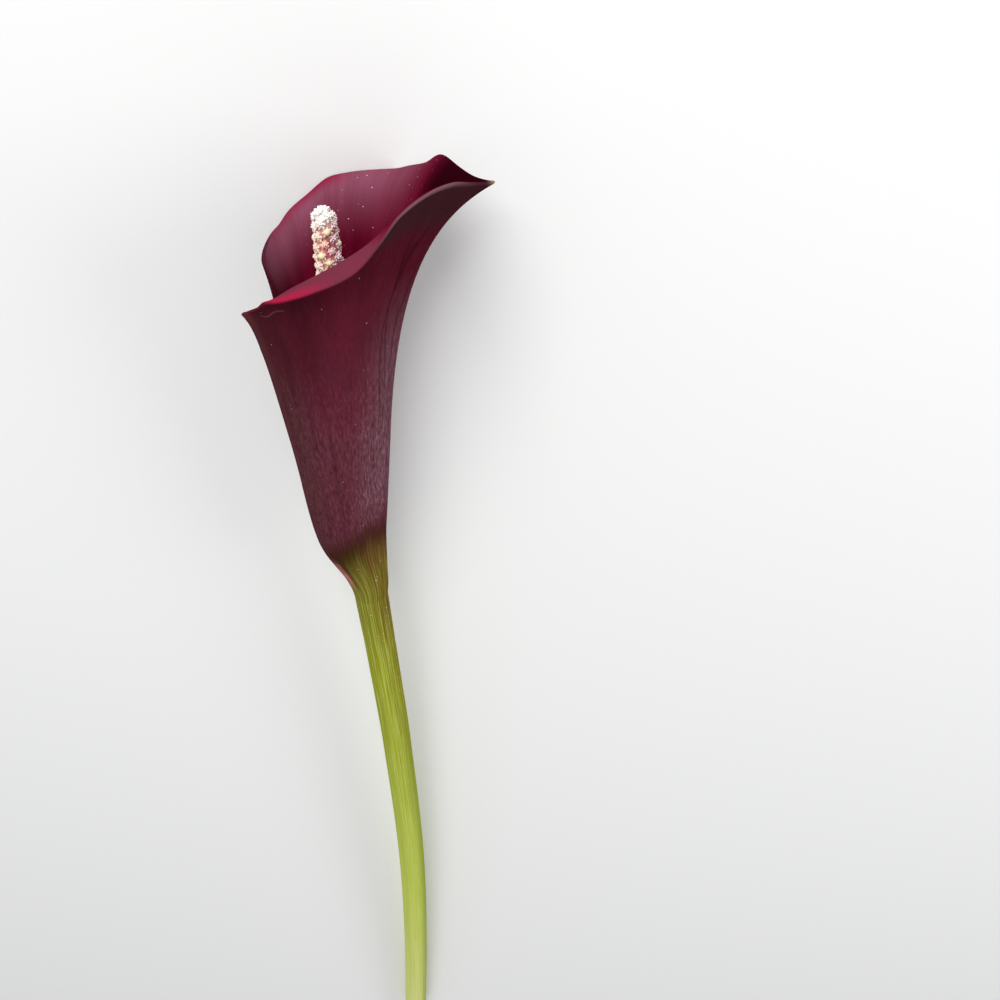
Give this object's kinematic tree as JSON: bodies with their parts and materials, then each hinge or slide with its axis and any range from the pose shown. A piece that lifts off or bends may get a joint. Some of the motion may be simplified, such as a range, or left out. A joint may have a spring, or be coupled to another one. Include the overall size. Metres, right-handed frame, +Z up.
{
  "type": "arum lily flower",
  "caption": "Picked arum lily bloom lying on its side: a dark burgundy wrapped spathe around a pale knobbly spadix, on a smooth green stalk with a slanted cut.",
  "frame": {"origin": "middle of the laid flower's bounding box, on the surface that it lies on", "axes": "+Y along the flower from the cut end of the stalk towards the mouth, +X towards the spathe's tip, +Z up"},
  "size_m": [0.0598, 0.4052, 0.0583],
  "materials": {
    "stalk": "smooth waxy green stalk with fine lengthwise streaks, paler towards the cut",
    "spathe": "waxy dark burgundy petal with fine lengthwise veins, crimson inside and on the rolled lip",
    "florets": "matt cream florets with pink between them"
  },
  "bodies": {
    "root": {"stem": "stalk", "spathe": "spathe", "spadix": "florets"}
  },
  "joints": []
}
